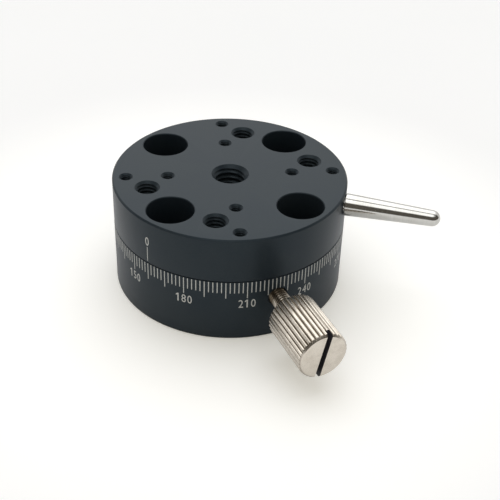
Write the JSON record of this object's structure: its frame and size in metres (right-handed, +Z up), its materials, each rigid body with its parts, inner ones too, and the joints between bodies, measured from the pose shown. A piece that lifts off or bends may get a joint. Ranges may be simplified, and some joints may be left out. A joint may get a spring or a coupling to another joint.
{
  "type": "rotation stage",
  "caption": "Round manual rotation stage with a tapped table on a ball bearing in a graduated base, a side lever for turning and a knurled clamp screw.",
  "frame": {"origin": "centre of the base's mounting hole circle on the underside of the base, on the turning axis", "axes": "+Z up along the turning axis, out of the table's top; the table's hole rectangle is square to X and Y, with its long side along Y, and the table's index mark is near -Y"},
  "size_m": [0.0539, 0.04, 0.0197],
  "materials": {
    "anodised_base": "black anodised, fine matt",
    "anodised_table": "black anodised, fine matt",
    "bearing_steel": "ground bearing steel",
    "cage_nylon": "moulded nylon",
    "sheet_steel": "pressed sheet steel",
    "black_oxide_steel": "black oxide",
    "turned_steel": "fine turned steel",
    "shim_brass": "rolled shim stock",
    "lever_stainless": "polished stainless steel",
    "knurled_nickel": "satin nickel plate over a straight knurl",
    "pad_brass": "turned brass"
  },
  "bodies": {
    "base": {"base_ring": "anodised_base", "bearing_outer_race": "bearing_steel", "shield_upper": "sheet_steel", "shield_lower": "sheet_steel", "snap_wire_upper": "sheet_steel", "snap_wire_lower": "sheet_steel", "bearing_lock_ring": "black_oxide_steel", "bottom_cap": "anodised_base"},
    "turntable": {"rotating_table": "anodised_table", "hub": "turned_steel", "hub_screws": "black_oxide_steel", "hub_clamp_plate": "turned_steel", "plate_screws": "turned_steel", "bearing_inner_race": "bearing_steel", "bearing_shim": "shim_brass", "lever": "lever_stainless"},
    "ball_cage": {"bearing_cage": "cage_nylon", "bearing_balls": "bearing_steel"},
    "pad": {"clamp_pad": "pad_brass"},
    "clamp": {"clamp_screw": "knurled_nickel"}
  },
  "joints": [
    {"name": "table_rotation", "type": "hinge", "parent": "base", "child": "turntable", "pos_m": [0, 0, 0.0036], "axis": [0, 0, 1], "continuous": true},
    {"name": "cage_orbit", "type": "hinge", "parent": "base", "child": "ball_cage", "pos_m": [0, 0, 0.0036], "axis": [0, 0, 1], "continuous": true},
    {"name": "clamp_travel", "type": "slide", "parent": "base", "child": "pad", "axis": [0.8949, -0.4462, 0], "range_m": [0, 0.001]},
    {"name": "clamp_turn", "type": "hinge", "parent": "pad", "child": "clamp", "pos_m": [0.0179, -0.00892, 0.0077], "axis": [0.8949, -0.4462, 0], "range_deg": [0, 720]}
  ],
  "couplings": [
    {"joint": "cage_orbit", "follows": "table_rotation", "ratio": 0.4556},
    {"joint": "clamp_turn", "follows": "clamp_travel", "rad_per_m": 12566}
  ]
}
